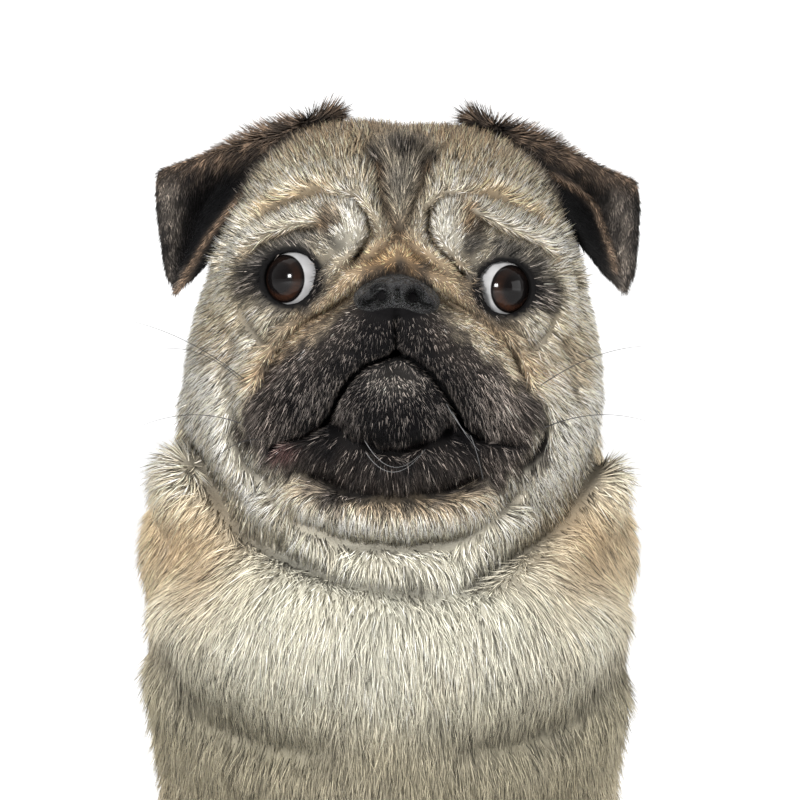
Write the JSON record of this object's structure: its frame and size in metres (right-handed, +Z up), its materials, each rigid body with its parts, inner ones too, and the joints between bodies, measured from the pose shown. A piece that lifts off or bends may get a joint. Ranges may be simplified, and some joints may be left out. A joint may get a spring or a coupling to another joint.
{
  "type": "dog figure",
  "caption": "Life-size still figure of a fawn pug with a black mask, sitting upright and looking ahead with its head level.",
  "frame": {"origin": "on the floor under the middle of the figure's length and width", "axes": "+Z up, +X to the dog's own left, -Y the way the dog faces"},
  "size_m": [0.1974, 0.3846, 0.3927],
  "materials": {
    "coat": "short dense fur, pale fawn with tan shading",
    "ear_coat": "very short black velvet fur",
    "nose_pad": "moist pebbled black skin",
    "eye": "wet, glossy, dark brown",
    "claw": "smooth dark horn"
  },
  "bodies": {
    "root": {"head": "coat", "neck": "coat", "torso": "coat", "tail": "coat", "foreleg_left": "coat", "foreleg_right": "coat", "forepaw_left": "coat", "forepaw_right": "coat", "hindleg_left": "coat", "hindleg_right": "coat", "hindpaw_left": "coat", "hindpaw_right": "coat", "ear_left": "ear_coat", "ear_right": "ear_coat", "nose": "nose_pad", "eye_left": "eye", "eye_right": "eye", "claw_front_1_left": "claw", "claw_front_1_right": "claw", "claw_front_2_left": "claw", "claw_front_2_right": "claw", "claw_front_3_left": "claw", "claw_front_3_right": "claw", "claw_front_4_left": "claw", "claw_front_4_right": "claw", "claw_hind_1_left": "claw", "claw_hind_1_right": "claw", "claw_hind_2_left": "claw", "claw_hind_2_right": "claw", "claw_hind_3_left": "claw", "claw_hind_3_right": "claw", "claw_hind_4_left": "claw", "claw_hind_4_right": "claw"}
  },
  "joints": []
}
